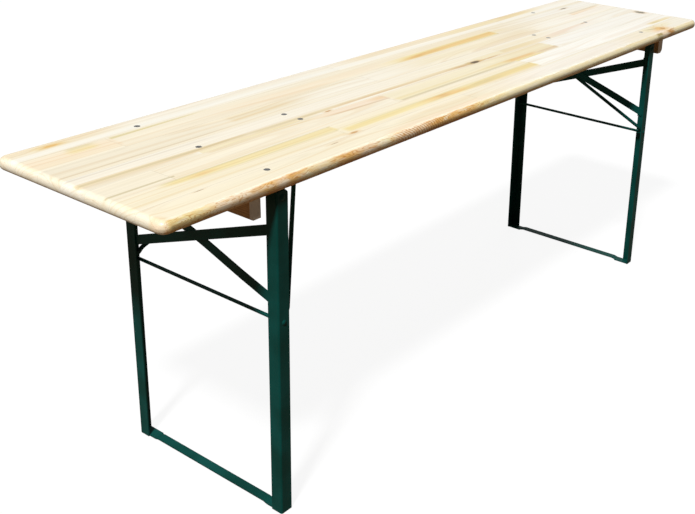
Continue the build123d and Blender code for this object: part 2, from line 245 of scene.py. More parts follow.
def noise(tree, place, scale, detail=2.0, seed=None):
    """Noise of the given scale at a place; a seed picks another field."""
    values = {"Vector": place, "Scale": scale, "Detail": detail}
    if seed is None:
        return add(tree, "TexNoise", values).outputs["Fac"]
    values["W"] = seed
    return add(tree, "TexNoise", values, noise_dimensions="4D").outputs["Fac"]


def layers(tree, value, detail):
    """An uneven rise and fall about 0.5 along a value, one to two units long."""
    values = {"W": value, "Scale": 1.0, "Detail": detail}
    return add(tree, "TexNoise", values, noise_dimensions="1D").outputs["Fac"]


def drawn_out(tree, place, along, across):
    """The place, stretched for a pattern that runs along X."""
    return add(tree, "Mapping", {"Vector": place, "Scale": (along, across, across)}).outputs[0]


def edge_wood(tree, place, nose):
    """The deeper, resinous wood that a rounded long edge lays bare, with shade painted browner below its
    middle, and how much of it shows.

    nose: (x, tone, blur), its colours from the left end.
    """
    axes = add(tree, "SeparateXYZ", {0: place})
    x, y, z = (axes.outputs[i] for i in range(3))
    deep = pine[nose[0][1]]
    for start, kind, blur in nose[1:]:
        deep = mixed(tree, smooth(tree, x, start - blur, start + blur), deep, pine[kind])

    # rusty and pale patches, with more figure towards the left end
    figured = calc(tree, "MULTIPLY_ADD", smooth(tree, x, left_end + 1.10, left_end + 0.90), 0.80, 0.15)
    patch = noise(tree, drawn_out(tree, place, 36.0, 150.0), 1.0, 2.0)
    rusty = calc(tree, "MULTIPLY", smooth(tree, patch, 0.53, 0.64), 0.55)
    deep = mixed(tree, calc(tree, "MULTIPLY", rusty, figured), deep, pine["orange"])
    deep = mixed(tree, calc(tree, "MULTIPLY", smooth(tree, patch, 0.47, 0.36), 0.50), deep, pine["cream"])

    # rings cut across: a fan of arches beside a knot, and wavy lines elsewhere
    fan = add(tree, "CombineXYZ", {
        0: calc(tree, "SUBTRACT", x, arch_x),
        1: calc(tree, "MULTIPLY_ADD", z, arch_squeeze, -arch_squeeze * underside),
    }).outputs[0]
    fan = add(tree, "VectorMath", {0: fan}, operation="LENGTH").outputs["Value"]
    arches = calc(tree, "MULTIPLY_ADD", patch, 0.7, calc(tree, "MULTIPLY", fan, arch_rate))
    arches = smooth(tree, calc(tree, "PINGPONG", arches, 0.5), 0.24, 0.42)
    for begun, full in ((0.05, 0.08), (0.30, 0.20)):
        arches = calc(tree, "MULTIPLY", arches, smooth(tree, x, arch_x + begun, arch_x + full))
    contour = noise(tree, drawn_out(tree, place, 13.0, 80.0), 1.0, 1.0)
    contour = calc(tree, "PINGPONG", calc(tree, "MULTIPLY", contour, 15.0), 0.5)
    waves = calc(tree, "MULTIPLY", calc(tree, "MULTIPLY", smooth(tree, contour, 0.28, 0.44), 0.75), figured)
    resin = mixed(tree, 1.0, deep, (0.66, 0.42, 0.22, 1), "MULTIPLY")
    deep = mixed(tree, calc(tree, "MAXIMUM", arches, waves), deep, resin)

    # painted shade: browner and darker below the middle of the edge, where the round turns away from the
    # lamp and takes warm light from below
    painted_shade_brown = mixed(tree, 1.0, deep, (0.92, 0.66, 0.38, 1), "MULTIPLY")
    deep = mixed(tree, smooth(tree, z, nose_middle + 0.002, nose_middle - 0.009), deep, painted_shade_brown)

    out = calc(tree, "MULTIPLY_ADD", patch, nose_waver, calc(tree, "ABSOLUTE", y))
    shown = smooth(tree, out, nose_start + nose_waver / 2, nose_full + nose_waver / 2)
    shown = calc(tree, "MULTIPLY", shown, smooth(tree, calc(tree, "ABSOLUTE", x), nose_gone, nose_whole))
    return deep, shown


def pine_material(name, seed, low, high, boards, knots, streaks, nose):
    """Varnished pine with the grain along X, for one stave between low and high across.

    boards: (start, tone) from the left end.
    knots: (x, y, half length, half width, tone, swirl of the grain round it).
    streaks: (x, y, half width) at both ends, tone, strength, and the lengths it fades over.
    nose: (x, tone, blur), the colours of its rounded edge, if it has one.
    """
    material, tree = new_material(name)
    place = add(tree, "TexCoord").outputs["Object"]
    axes = add(tree, "SeparateXYZ", {0: place})
    x, y, z = (axes.outputs[i] for i in range(3))

    # which board: the fingers show as a comb on the edges and a plain line on the face
    comb = calc(tree, "PINGPONG", calc(tree, "ADD", z, finger_phase), finger_half_pitch)
    along = calc(tree, "MULTIPLY_ADD", comb, finger_slope, x)
    tone = pine[boards[0][1]]
    board = float(seed)
    seam = 0.0
    for start, kind in boards[1:]:
        past = calc(tree, "GREATER_THAN", along, start)
        tone = mixed(tree, past, tone, pine[kind])
        board = calc(tree, "ADD", past, board)
        near = calc(tree, "ABSOLUTE", calc(tree, "SUBTRACT", along, start))
        seam = calc(tree, "MAXIMUM", smooth(tree, near, finger_line, 0.0), seam)
    for edge in (low, high):
        near = calc(tree, "ABSOLUTE", calc(tree, "SUBTRACT", y, edge))
        seam = calc(tree, "MAXIMUM", smooth(tree, near, glue_line, 0.0), seam)
    luck = add(tree, "TexWhiteNoise", {"W": board}, noise_dimensions="1D").outputs["Color"]
    luck = add(tree, "SeparateColor", {0: luck})

    end_grain = smooth(tree, calc(tree, "ABSOLUTE", x), end_grain_start, end_grain_full)
    face = calc(tree, "MULTIPLY_ADD", end_grain, -0.8, 1.0)

    # growth rings about a pith under the board, swaying along it
    sway = noise(tree, drawn_out(tree, place, 1.3, 5.0), 1.0, 1.0, seed=board)
    pith_y = calc(tree, "MULTIPLY_ADD", luck.outputs[0], pith_spread, (low + high - pith_spread) / 2)
    pith_z = calc(tree, "MULTIPLY_ADD", luck.outputs[1], -pith_depth_spread, underside - pith_depth)
    section = add(tree, "CombineXYZ", {
        0: calc(tree, "SUBTRACT", y, pith_y), 1: calc(tree, "SUBTRACT", z, pith_z),
    }).outputs[0]
    distance = add(tree, "VectorMath", {0: section}, operation="LENGTH").outputs["Value"]
    distance = calc(tree, "MULTIPLY_ADD", sway, 0.030, distance)
    wander = calc(tree, "MULTIPLY_ADD", sway, 0.008, -0.004)

    knot_marks = []
    for knot_x, knot_y, length, width, kind, swirl in knots:
        reach = add(tree, "CombineXYZ", {
            0: calc(tree, "DIVIDE", calc(tree, "SUBTRACT", x, knot_x), length),
            1: calc(tree, "DIVIDE", calc(tree, "SUBTRACT", y, knot_y), width),
        }).outputs[0]
        away = add(tree, "VectorMath", {0: reach}, operation="LENGTH").outputs["Value"]
        ragged = noise(tree, drawn_out(tree, place, 120.0, 260.0), 1.0, 1.0)
        away = calc(tree, "MULTIPLY_ADD", ragged, 0.5, calc(tree, "SUBTRACT", away, 0.25))
        lump = smooth(tree, away, 3.5, 0.0)
        distance = calc(tree, "MULTIPLY_ADD", lump, width * swirl, distance)
        knot_marks.append((away, kind))

    # early and late wood: soft lines a few millimetres apart that follow the rings
    rings = calc(tree, "MULTIPLY_ADD", distance, ring_rate, calc(tree, "MULTIPLY", board, 7.3))
    rings = layers(tree, rings, 2.0)
    late = smooth(tree, rings, 0.47, 0.70)
    fine = layers(tree, calc(tree, "MULTIPLY_ADD", distance, fine_ring_rate, board), 1.0)
    broad = noise(tree, drawn_out(tree, place, 0.9, 38.0), 1.0, 2.0, seed=board)
    ribbon = noise(tree, drawn_out(tree, place, 2.2, 150.0), 1.0, 2.0)
    fibre = noise(tree, drawn_out(tree, place, 8.0, 520.0), 1.0, 3.0)
    tone = mixed(tree, calc(tree, "MULTIPLY", smooth(tree, broad, 0.48, 0.72), 0.45), tone, pine["tan"])
    tone = mixed(tree, calc(tree, "MULTIPLY", smooth(tree, broad, 0.46, 0.28), 0.40), tone, pine["pale"])

    for x_from, y_from, w_from, x_to, y_to, w_to, kind, strength, fade_in, fade_out in streaks:
        share = calc(tree, "DIVIDE", calc(tree, "SUBTRACT", x, x_from), x_to - x_from)
        inside = calc(tree, "MAXIMUM", calc(tree, "MINIMUM", share, 1.0), 0.0)
        centre = calc(tree, "MULTIPLY_ADD", inside, y_to - y_from, y_from)
        width = calc(tree, "MULTIPLY_ADD", inside, w_to - w_from, w_from)
        gap = calc(tree, "ABSOLUTE", calc(tree, "SUBTRACT", y, calc(tree, "ADD", centre, wander)))
        body = smooth(tree, calc(tree, "DIVIDE", gap, width), 1.15, 0.45)
        ends = calc(
            tree, "MULTIPLY",
            smooth(tree, x, x_from - 0.0005, x_from + fade_in),
            smooth(tree, x, x_to + 0.0005, x_to - fade_out),
        )
        cover = calc(tree, "MULTIPLY_ADD", rings, 1.1 * strength, 0.40 * strength)
        for limit in (body, ends, face):
            cover = calc(tree, "MULTIPLY", cover, limit)
        tone = mixed(tree, calc(tree, "MINIMUM", cover, 1.0), tone, pine[kind])

    for away, kind in knot_marks:
        tone = mixed(tree, calc(tree, "MULTIPLY", smooth(tree, away, 2.1, 0.9), 0.35), tone, pine["orange"])
        tone = mixed(tree, calc(tree, "MULTIPLY", smooth(tree, away, 1.15, 0.55), 0.9), tone, pine[kind])

    # the rounded long edge
    round_edge = 0.0
    if nose:
        deep, round_edge = edge_wood(tree, place, nose)
        tone = mixed(tree, round_edge, tone, deep)

    # open pores in the end grain at the short edges
    pores = noise(tree, place, 1300.0, 1.0)

    contrast = calc(tree, "MULTIPLY_ADD", end_grain, 0.02, 0.24)
    contrast = calc(tree, "MULTIPLY_ADD", round_edge, 0.15, contrast)
    dark = mixed(tree, 1.0, tone, (0.80, 0.60, 0.38, 1), "MULTIPLY")
    colour = mixed(tree, calc(tree, "MULTIPLY", late, contrast), tone, dark)
    shade = calc(tree, "MULTIPLY_ADD", fibre, 0.14, 0.93)
    shade = calc(tree, "MULTIPLY", shade, calc(tree, "MULTIPLY_ADD", ribbon, 0.12, 0.94))
    shade = calc(tree, "MULTIPLY", shade, calc(tree, "MULTIPLY_ADD", fine, 0.08, 0.96))
    shade = calc(tree, "MULTIPLY", shade, calc(tree, "MULTIPLY_ADD", luck.outputs[2], 0.04, 0.98))
    shade = calc(tree, "MULTIPLY", shade, calc(tree, "MULTIPLY_ADD", seam, -0.30, 1.0))
    worn = calc(tree, "MULTIPLY", smooth(tree, pores, 0.60, 0.75), end_grain)
    shade = calc(tree, "MULTIPLY", shade, calc(tree, "MULTIPLY_ADD", worn, -0.35, 1.0))
    colour = mixed(tree, 1.0, colour, grey(tree, shade), "MULTIPLY")

    relief = calc(tree, "MULTIPLY_ADD", late, 0.5, fibre)
    relief = calc(tree, "MULTIPLY_ADD", seam, -0.8, relief)
    bump = add(tree, "Bump", {"Height": relief, "Strength": 0.25, "Distance": 0.0004}).outputs[0]
    rough = calc(tree, "MULTIPLY_ADD", fibre, 0.15, 0.36)
    skin = add(tree, "BsdfPrincipled", {
        "Base Color": colour, "Roughness": rough, "Normal": bump, "IOR": 1.5,
        "Coat Weight": 0.2, "Coat Roughness": 0.25,
    })
    add(tree, "OutputMaterial", {"Surface": skin.outputs[0]})
    return material


def finish(node, material):
    """Gives a piece of the frame its finish."""
    nodes[node].data.materials.clear()
    nodes[node].data.materials.append(material)


# along the table from its left end, and across it from its back edge
staves = {
    7: {
        "boards": [(0.0, "cream"), (0.94, "cream"), (1.71, "cream")],
        "knots": [(0.107, 0.030, 0.020, 0.006, "orange", 0.8)],
        "streaks": [
            (0.0, 0.017, 0.018, 2.2, 0.020, 0.016, "peach", 0.40, 0.0, 0.0),
            (0.0, 0.020, 0.020, 2.2, 0.024, 0.018, "tan", 0.35, 0.0, 0.0),
            (0.05, 0.028, 0.012, 0.165, 0.030, 0.012, "honey", 0.55, 0.04, 0.05),
            (0.18, 0.036, 0.036, 1.10, 0.036, 0.036, "chalk", 0.70, 0.15, 0.20),
            (0.0, 0.055, 0.013, 2.2, 0.055, 0.013, "chalk", 0.80, 0.0, 0.0),
            (1.85, 0.036, 0.036, 2.2, 0.036, 0.036, "milk", 0.60, 0.15, 0.0),
            (1.35, 0.030, 0.018, 2.1, 0.030, 0.014, "honey", 0.45, 0.20, 0.30),
        ],
    },
    6: {
        "boards": [(0.0, "cream"), (0.213, "cream"), (1.572, "cream")],
        "knots": [(2.030, 0.0935, 0.019, 0.0046, "soot", 1.0)],
        "streaks": [
            (0.0, 0.103, 0.030, 0.213, 0.103, 0.030, "peach", 0.60, 0.0, 0.0),
            (0.10, 0.076, 0.007, 0.185, 0.077, 0.005, "olive", 0.75, 0.02, 0.03),
            (0.09, 0.092, 0.013, 0.185, 0.092, 0.012, "honey", 0.75, 0.03, 0.03),
            (0.213, 0.079, 0.0075, 0.50, 0.074, 0.002, "olive", 0.85, 0.0, 0.10),
            (0.40, 0.110, 0.022, 1.12, 0.115, 0.020, "peach", 0.45, 0.20, 0.15),
            (0.98, 0.132, 0.0020, 1.16, 0.132, 0.0015, "umber", 0.20, 0.04, 0.04),
            (1.00, 0.121, 0.018, 1.571, 0.118, 0.022, "honey", 1.25, 0.20, 0.0),
            (1.08, 0.126, 0.010, 1.571, 0.118, 0.014, "orange", 0.80, 0.12, 0.01),
            (1.30, 0.137, 0.003, 1.571, 0.137, 0.003, "olive", 0.80, 0.10, 0.0),
            (1.60, 0.107, 0.036, 2.2, 0.107, 0.036, "milk", 0.80, 0.30, 0.0),
            (1.572, 0.115, 0.012, 1.66, 0.115, 0.010, "honey", 0.40, 0.0, 0.08),
            (1.572, 0.125, 0.015, 2.2, 0.120, 0.010, "tan", 0.30, 0.05, 0.30),
        ],
    },
    5: {
        "boards": [(0.0, "cream"), (0.93, "cream"), (1.70, "cream")],
        "knots": [],
        "streaks": [
            (0.0, 0.148, 0.0045, 0.21, 0.149, 0.0040, "umber", 0.10, 0.0, 0.02),
            (0.0, 0.176, 0.030, 0.45, 0.176, 0.030, "smoke", 0.07, 0.0, 0.10),
            (0.0, 0.200, 0.0050, 0.45, 0.203, 0.0040, "umber", 0.10, 0.0, 0.10),
            (0.45, 0.168, 0.022, 0.80, 0.172, 0.016, "tan", 0.70, 0.02, 0.20),
            (0.66, 0.152, 0.0035, 0.88, 0.146, 0.0040, "tan", 0.80, 0.06, 0.06),
            (1.00, 0.176, 0.026, 1.56, 0.176, 0.026, "straw", 0.28, 0.20, 0.10),
            (1.40, 0.172, 0.026, 1.76, 0.172, 0.022, "tan", 0.55, 0.25, 0.12),
            (0.60, 0.178, 0.036, 1.20, 0.178, 0.036, "chalk", 0.60, 0.15, 0.25),
            (1.62, 0.178, 0.036, 2.2, 0.178, 0.036, "chalk", 0.90, 0.20, 0.0),
            (1.80, 0.180, 0.028, 2.2, 0.180, 0.028, "rose", 0.30, 0.15, 0.0),
            (1.96, 0.160, 0.013, 2.18, 0.151, 0.007, "peach", 0.85, 0.01, 0.05),
            (1.96, 0.149, 0.0035, 2.18, 0.147, 0.0030, "umber", 0.28, 0.02, 0.04),
        ],
    },
    4: {
        "boards": [(0.0, "pale"), (1.40, "pale")],
        "knots": [
            (0.653, 0.2815, 0.012, 0.0035, "amber", 1.0),
            (1.243, 0.277, 0.021, 0.0090, "bark", 1.2),
            (1.878, 0.252, 0.010, 0.0025, "smoke", 0.5),
        ],
        "streaks": [
            (0.0, 0.223, 0.0045, 0.42, 0.225, 0.0035, "smoke", 0.24, 0.0, 0.10),
            (0.28, 0.279, 0.011, 0.64, 0.283, 0.010, "honey", 0.60, 0.0, 0.12),
            (0.0, 0.272, 0.012, 0.28, 0.276, 0.012, "tan", 0.45, 0.0, 0.02),
            (0.0, 0.256, 0.011, 0.45, 0.268, 0.011, "tan", 1.1, 0.0, 0.05),
            (0.40, 0.268, 0.011, 0.80, 0.266, 0.009, "tan", 1.1, 0.05, 0.06),
            (0.74, 0.266, 0.009, 1.24, 0.275, 0.011, "tan", 1.1, 0.06, 0.02),
            (0.0, 0.257, 0.0050, 0.70, 0.270, 0.0050, "moss", 0.32, 0.0, 0.10),
            (0.64, 0.268, 0.0040, 1.24, 0.276, 0.0050, "amber", 0.32, 0.10, 0.02),
            (1.10, 0.2755, 0.007, 1.24, 0.277, 0.007, "amber", 0.60, 0.08, 0.01),
            (1.20, 0.275, 0.012, 1.29, 0.279, 0.010, "moss", 0.70, 0.02, 0.03),
            (1.24, 0.279, 0.005, 1.38, 0.281, 0.003, "amber", 0.90, 0.01, 0.06),
            (1.20, 0.268, 0.016, 1.64, 0.270, 0.016, "honey", 0.45, 0.10, 0.15),
            (0.80, 0.250, 0.036, 1.75, 0.250, 0.036, "straw", 0.25, 0.30, 0.20),
            (1.60, 0.250, 0.036, 2.2, 0.250, 0.036, "chalk", 0.90, 0.25, 0.0),
            (1.60, 0.262, 0.018, 2.02, 0.262, 0.018, "rose", 0.60, 0.10, 0.20),
        ],
    },
    3: {
        "boards": [(0.0, "cream"), (0.160, "cream"), (0.831, "cream"), (1.560, "chalk")],
        "knots": [(2.166, 0.309, 0.015, 0.020, "soot", 0.4)],
        "streaks": [
            (0.0, 0.339, 0.0040, 0.160, 0.340, 0.0035, "moss", 0.55, 0.0, 0.0),
            (0.28, 0.290, 0.006, 0.62, 0.293, 0.005, "tan", 0.80, 0.02, 0.05),
            (0.56, 0.293, 0.009, 0.830, 0.301, 0.017, "peach", 0.95, 0.10, 0.0),
            (0.58, 0.294, 0.008, 0.830, 0.303, 0.015, "rose", 0.50, 0.10, 0.0),
            (0.76, 0.299, 0.010, 0.830, 0.303, 0.012, "orange", 0.40, 0.05, 0.0),
            (0.58, 0.305, 0.0035, 0.830, 0.318, 0.0045, "amber", 0.38, 0.08, 0.0),
            (0.831, 0.320, 0.036, 1.560, 0.320, 0.036, "straw", 0.60, 0.0, 0.0),
            (0.831, 0.349, 0.0060, 1.36, 0.350, 0.0055, "moss", 0.52, 0.01, 0.08),
            (0.831, 0.338, 0.012, 1.20, 0.334, 0.008, "straw", 0.80, 0.01, 0.15),
            (1.15, 0.336, 0.012, 1.36, 0.338, 0.012, "honey", 0.55, 0.10, 0.02),
            (1.28, 0.339, 0.011, 1.48, 0.341, 0.010, "orange", 0.85, 0.06, 0.06),
            (1.33, 0.352, 0.008, 1.50, 0.354, 0.006, "honey", 1.10, 0.01, 0.06),
            (1.44, 0.343, 0.008, 1.560, 0.345, 0.010, "amber", 0.45, 0.04, 0.0),
            (1.560, 0.322, 0.036, 2.2, 0.322, 0.036, "milk", 0.85, 0.0, 0.0),
        ],
    },
    2: {
        "boards": [(0.0, "cream"), (0.573, "cream"), (1.347, "chalk")],
        "knots": [(0.580, 0.4235, 0.014, 0.0045, "amber", 1.2)],
        "streaks": [
            (0.09, 0.366, 0.010, 0.30, 0.371, 0.016, "honey", 1.10, 0.06, 0.0),
            (0.30, 0.371, 0.016, 0.573, 0.373, 0.016, "honey", 0.95, 0.0, 0.0),
            (0.10, 0.3595, 0.0030, 0.573, 0.3595, 0.0030, "olive", 0.85, 0.03, 0.0),
            (0.15, 0.381, 0.0030, 0.573, 0.387, 0.0030, "olive", 0.75, 0.05, 0.0),
            (0.16, 0.368, 0.010, 0.26, 0.371, 0.008, "orange", 0.70, 0.05, 0.06),
            (0.0, 0.393, 0.036, 1.346, 0.393, 0.036, "straw", 0.30, 0.0, 0.0),
            (0.573, 0.398, 0.018, 1.346, 0.402, 0.018, "straw", 0.85, 0.01, 0.0),
            (0.573, 0.401, 0.014, 1.346, 0.402, 0.016, "honey", 0.95, 0.02, 0.0),
            (0.60, 0.391, 0.0035, 1.346, 0.386, 0.0035, "olive", 0.60, 0.05, 0.0),
            (0.82, 0.400, 0.013, 1.06, 0.401, 0.011, "orange", 0.90, 0.12, 0.10),
            (0.90, 0.400, 0.009, 0.97, 0.400, 0.009, "amber", 0.38, 0.03, 0.03),
            (1.02, 0.402, 0.010, 1.22, 0.403, 0.009, "olive", 0.55, 0.06, 0.10),
            (1.347, 0.393, 0.036, 2.2, 0.393, 0.036, "milk", 0.75, 0.10, 0.0),
            (2.00, 0.412, 0.011, 2.2, 0.411, 0.012, "honey", 0.60, 0.04, 0.06),
            (2.03, 0.414, 0.006, 2.10, 0.414, 0.006, "olive", 0.60, 0.02, 0.03),
        ],
    },
    1: {
        "boards": [(0.0, "cream"), (0.98, "cream"), (1.71, "cream")],
        "knots": [
            (0.500, 0.440, 0.012, 0.0012, "umber", 2.0),
            (0.142, 0.4315, 0.014, 0.0010, "umber", 1.5),
            (0.640, 0.498, 0.030, 0.008, "orange", 2.2),
            (0.003, 0.484, 0.013, 0.012, "peach", 0.3),
            (1.990, 0.466, 0.020, 0.018, "orange", 1.2),
            (1.998, 0.470, 0.010, 0.010, "amber", 0.0),
        ],
        "streaks": [
            (0.0, 0.464, 0.036, 1.30, 0.464, 0.036, "straw", 0.20, 0.0, 0.25),
            (1.05, 0.464, 0.036, 1.85, 0.464, 0.036, "chalk", 0.90, 0.30, 0.20),
            (0.60, 0.481, 0.014, 1.12, 0.480, 0.014, "peach", 0.80, 0.06, 0.20),
            (0.66, 0.455, 0.018, 1.06, 0.455, 0.018, "tan", 0.75, 0.10, 0.12),
            (1.00, 0.460, 0.024, 1.90, 0.460, 0.024, "rose", 0.30, 0.15, 0.15),
            (1.98, 0.464, 0.036, 2.2, 0.464, 0.036, "chalk", 0.60, 0.08, 0.0),
            (1.90, 0.450, 0.020, 2.12, 0.450, 0.018, "straw", 0.70, 0.03, 0.08),
            (1.92, 0.478, 0.022, 2.05, 0.474, 0.022, "peach", 1.2, 0.02, 0.04),
            (1.94, 0.470, 0.014, 2.03, 0.472, 0.014, "orange", 0.45, 0.02, 0.03),
            (1.925, 0.442, 0.004, 2.00, 0.464, 0.006, "moss", 0.65, 0.02, 0.02),
            (1.92, 0.487, 0.012, 1.99, 0.490, 0.014, "rose", 0.80, 0.02, 0.02),
        ],
    },
}
noses = {
    1: [
        (0.0, "peach", 0), (0.015, "honey", 0.006), (0.11, "peach", 0.03), (0.235, "orange", 0.014),
        (0.272, "peach", 0.012), (0.303, "orange", 0.012), (0.345, "straw", 0.014), (0.445, "orange", 0.020),
        (0.505, "peach", 0.025), (0.575, "straw", 0.020), (0.625, "peach", 0.020), (0.745, "orange", 0.030),
        (0.94, "honey", 0.030), (1.04, "straw", 0.080), (1.912, "moss", 0.010), (1.946, "peach", 0.008),
        (1.985, "amber", 0.012), (2.030, "straw", 0.020),
    ],
    7: [(0.0, "honey", 0), (0.8, "tan", 0.1), (1.5, "honey", 0.1)],
}
for index, stave in staves.items():
    stave_low, stave_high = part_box(f"stave_{index}")
    material = pine_material(
        f"pine stave {index}", index * 10, stave_low[1], stave_high[1],
        [(left_end + start, tone) for start, tone in stave["boards"]],
        [
            (left_end + x, back_edge - y, length, width, tone, swirl)
            for x, y, length, width, tone, swirl in stave["knots"]
        ],
        [
            (left_end + x_from, back_edge - y_from, w_from, left_end + x_to, back_edge - y_to, w_to, *rest)
            for x_from, y_from, w_from, x_to, y_to, w_to, *rest in stave["streaks"]
        ],
        [(left_end + start, tone, blur) for start, tone, blur in noses.get(index, ())],
    )
    finish(f"stave_{index}", material)

# ------------------------------------------------------------------ battens
# A cross batten of darker planed pine near each end, under the top. Wood screws
# driven up through it hold it to the staves and keep them flat.

ends = {"left": -1, "right": 1}      # the two ends of the table and their sign along X
batten_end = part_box("batten_left")[1][1]
batten_pith = (0.845, 0.690)         # along from the middle of the table, and up from the floor
batten_ring = 0.0032                 # width of a growth ring


def batten_pine():
    """Planed pine with the grain along Y, browner than the top, with a thin varnish."""
    material, tree = new_material("batten pine")
    place = add(tree, "TexCoord").outputs["Object"]
    axes = add(tree, "SeparateXYZ", {0: place})
    x, y, z = (axes.outputs[i] for i in range(3))
    lengthwise = add(tree, "Mapping", {"Vector": place, "Scale": (60.0, 2.0, 60.0)}).outputs[0]
    sway = noise(tree, lengthwise, 0.2, 1.0)
    section = add(tree, "CombineXYZ", {
        0: calc(tree, "SUBTRACT", calc(tree, "ABSOLUTE", x), batten_pith[0]),
        1: calc(tree, "SUBTRACT", z, batten_pith[1]),
    }).outputs[0]
    distance = add(tree, "VectorMath", {0: section}, operation="LENGTH").outputs["Value"]
    distance = calc(tree, "MULTIPLY_ADD", sway, 0.03, distance)
    ring = calc(tree, "FRACT", calc(tree, "DIVIDE", distance, batten_ring))
    late = calc(tree, "MULTIPLY", smooth(tree, ring, 0.30, 0.85), smooth(tree, ring, 1.0, 0.92))
    fibre_place = add(tree, "Mapping", {"Vector": place, "Scale": (480.0, 8.0, 480.0)}).outputs[0]
    fibre = noise(tree, fibre_place, 1.0, 3.0)
    end_grain = smooth(tree, calc(tree, "ABSOLUTE", y), batten_end - 0.0005, batten_end - 0.0001)
    # the end faces are paler than the sides: partly the end grain's own colour, partly painted light for the
    # light that they catch
    colour = mixed(tree, end_grain, (0.55, 0.29, 0.10, 1), (0.95, 0.86, 0.73, 1))
    dark = mixed(tree, 1.0, colour, (0.66, 0.52, 0.40, 1), "MULTIPLY")
    colour = mixed(tree, calc(tree, "MULTIPLY", late, 0.60), colour, dark)
    pores = calc(tree, "MULTIPLY", smooth(tree, noise(tree, place, 1200.0, 1.0), 0.58, 0.74), end_grain)
    shade = calc(tree, "MULTIPLY_ADD", fibre, 0.26, 0.87)
    shade = calc(tree, "MULTIPLY", shade, calc(tree, "MULTIPLY_ADD", pores, -0.30, 1.0))
    colour = mixed(tree, 1.0, colour, grey(tree, shade), "MULTIPLY")
    relief = calc(tree, "MULTIPLY_ADD", late, 0.6, fibre)
    bump = add(tree, "Bump", {"Height": relief, "Strength": 0.35, "Distance": 0.0005}).outputs[0]
    skin = add(tree, "BsdfPrincipled", {
        "Base Color": colour, "Roughness": calc(tree, "MULTIPLY_ADD", fibre, 0.15, 0.50), "Normal": bump,
    })
    add(tree, "OutputMaterial", {"Surface": skin.outputs[0]})
    return material


batten_wood = batten_pine()
for side in ends:
    finish(f"batten_{side}", batten_wood)


def metal(name, light, dark, roughness):
    """Bare or plated steel: cloudy plating, small marks and an uneven sheen."""
    material, tree = new_material(name)
    place = add(tree, "TexCoord").outputs["Object"]
    cloud = noise(tree, place, 160.0, 3.0)
    mark = smooth(tree, noise(tree, place, 2400.0, 1.0), 0.58, 0.70)
    colour = mixed(tree, cloud, dark, light)
    colour = mixed(tree, calc(tree, "MULTIPLY", mark, 0.35), colour, dark)
    rough = calc(tree, "MULTIPLY_ADD", cloud, 0.20, roughness - 0.10)
    bump = add(tree, "Bump", {
        "Height": noise(tree, place, 1500.0, 2.0), "Strength": 0.3, "Distance": 0.00006,
    }).outputs[0]
    skin = add(tree, "BsdfPrincipled", {
        "Base Color": colour, "Metallic": 0.85, "Roughness": rough, "Normal": bump,
    })
    add(tree, "OutputMaterial", {"Surface": skin.outputs[0]})
    return material


def turned(profile, steps=40):
    """A shape turned about Z from (radius, height) points, solid if they start and end on the axis."""
    shape = bmesh.new()
    points = [shape.verts.new((radius, 0, height)) for radius, height in profile]
    edges = [shape.edges.new(pair) for pair in zip(points, points[1:])]
    bmesh.ops.spin(
        shape, geom=points + edges, cent=(0, 0, 0), axis=(0, 0, 1),
        angle=2 * math.pi, steps=steps, use_merge=True, use_duplicate=False,
    )
    bmesh.ops.remove_doubles(shape, verts=shape.verts, dist=1e-6)
    bmesh.ops.recalc_face_normals(shape, faces=shape.faces)
    return shape


def piece(name, body, material, shape, places, replaces=()):
    """One object of a shape copied to each place. It rides its body, if one is given."""
    master = bpy.data.meshes.new(name)
    shape.to_mesh(master)
    shape.free()
    whole = bmesh.new()
    for place in places:
        copy = master.copy()
        copy.transform(place)
        whole.from_mesh(copy)
        bpy.data.meshes.remove(copy)
    bmesh.ops.recalc_face_normals(whole, faces=whole.faces)
    whole.to_mesh(master)
    whole.free()
    master.shade_smooth()
    master.set_sharp_from_angle(angle=math.radians(32))
    master.materials.append(material)
    made = new_object(name, master)
    if body:
        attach(made, body)
    if replaces:
        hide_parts(*replaces)
    return made


def facing(x, y, z, way="Z"):
    """The place of a turned shape whose axis points that way: Z, -Z, Y or -Y."""
    turn = {"Z": 0.0, "-Z": math.pi, "-Y": math.pi / 2, "Y": -math.pi / 2}[way]
    return Matrix.Translation((x, y, z)) @ Matrix.Rotation(turn, 4, "X")


zinc = metal("zinc plate", (0.62, 0.62, 0.60, 1), (0.44, 0.45, 0.45, 1), 0.42)
batten_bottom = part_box("batten_left")[0][2]
screw_rows = (-0.165, 0.0, 0.165)
screw_radius = 0.0042
screw_flat = 0.0003        # height of the head's flat top above the wood
recess_reach = 0.0024
recess_half = 0.00055
recess_depth = 0.0014
recess_taper = 0.75


def screw_shape():
    """The head of a wood screw with a cross recess, and the start of its shank."""
    screw = turned([
        (0, screw_flat), (0.0030, screw_flat), (0.0038, 0.0001), (screw_radius, -0.0003),
        (0.0020, -0.0028), (0, -0.0028),
    ])
    on_top = screw_flat - 0.00005
    flat = [f for f in screw.faces if f.calc_center_median().z > on_top]
    bmesh.ops.dissolve_faces(screw, faces=flat)
    for axis in ((1, 0, 0), (0, 1, 0)):
        for offset in (-recess_reach, -recess_half, recess_half, recess_reach):
            head = [f for f in screw.faces if f.calc_center_median().z > on_top]
            around = list({v for f in head for v in f.verts}) + list({e for f in head for e in f.edges})
            bmesh.ops.bisect_plane(screw, geom=around + head, plane_co=Vector(axis) * offset, plane_no=axis)
    cross = []
    for face in screw.faces:
        middle = face.calc_center_median()
        across, along = sorted((abs(middle.x), abs(middle.y)))
        if middle.z > on_top and across < recess_half and along < recess_reach:
            cross.append(face)
    sunk = bmesh.ops.extrude_face_region(screw, geom=cross)
    bmesh.ops.delete(screw, geom=cross, context="FACES_ONLY")
    recess_floor = [g for g in sunk["geom"] if isinstance(g, bmesh.types.BMVert)]
    bmesh.ops.scale(screw, vec=(recess_taper, recess_taper, 1), verts=recess_floor)
    bmesh.ops.translate(screw, vec=(0, 0, -recess_depth), verts=recess_floor)
    return screw


